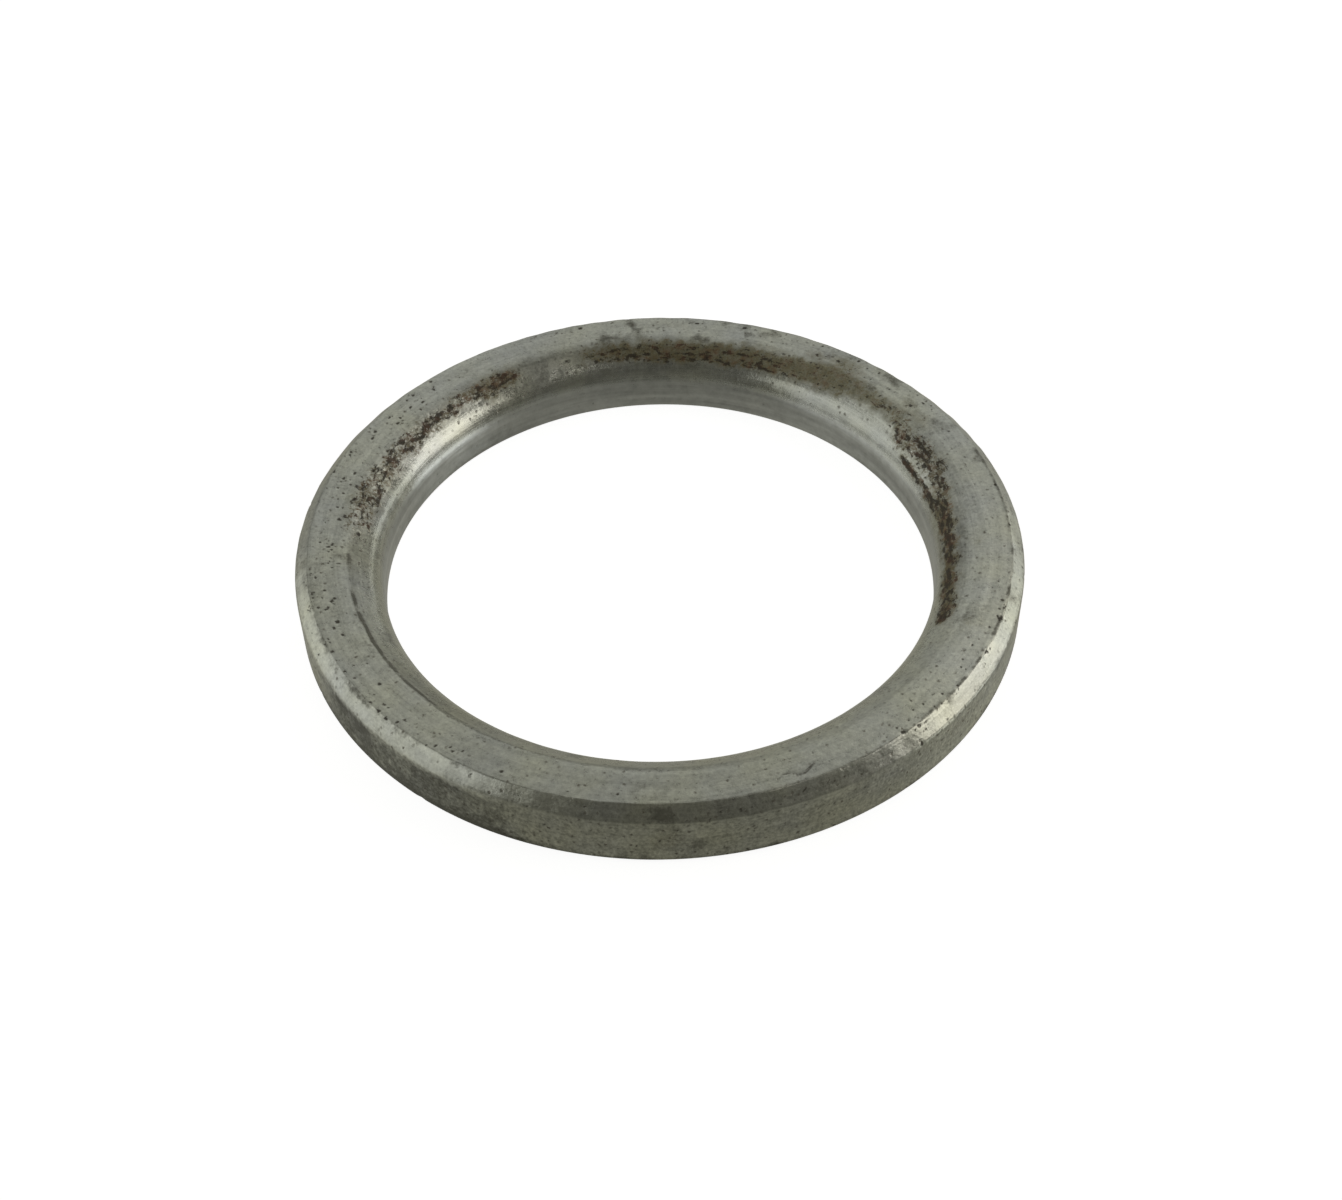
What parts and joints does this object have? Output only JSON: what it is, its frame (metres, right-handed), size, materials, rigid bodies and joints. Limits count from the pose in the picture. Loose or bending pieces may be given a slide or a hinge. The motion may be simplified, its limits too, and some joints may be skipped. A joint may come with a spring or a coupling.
{
  "type": "flat washer",
  "caption": "Thick flat steel ring washer with a chamfered rim and a deep conical relief in the mouth of its plain bore.",
  "frame": {"origin": "centre of the bore, in the plane of the flat underside that the washer lies on", "axes": "+Z along the bore axis, from the flat underside towards the face with the chamfered rim and the relief; X and Y lie in the underside"},
  "size_m": [0.085, 0.085, 0.008],
  "materials": {
    "turned_steel": "satin turned steel, uncoated, with pits and patches of brown rust"
  },
  "bodies": {
    "root": {"washer_ring": "turned_steel"}
  },
  "joints": []
}
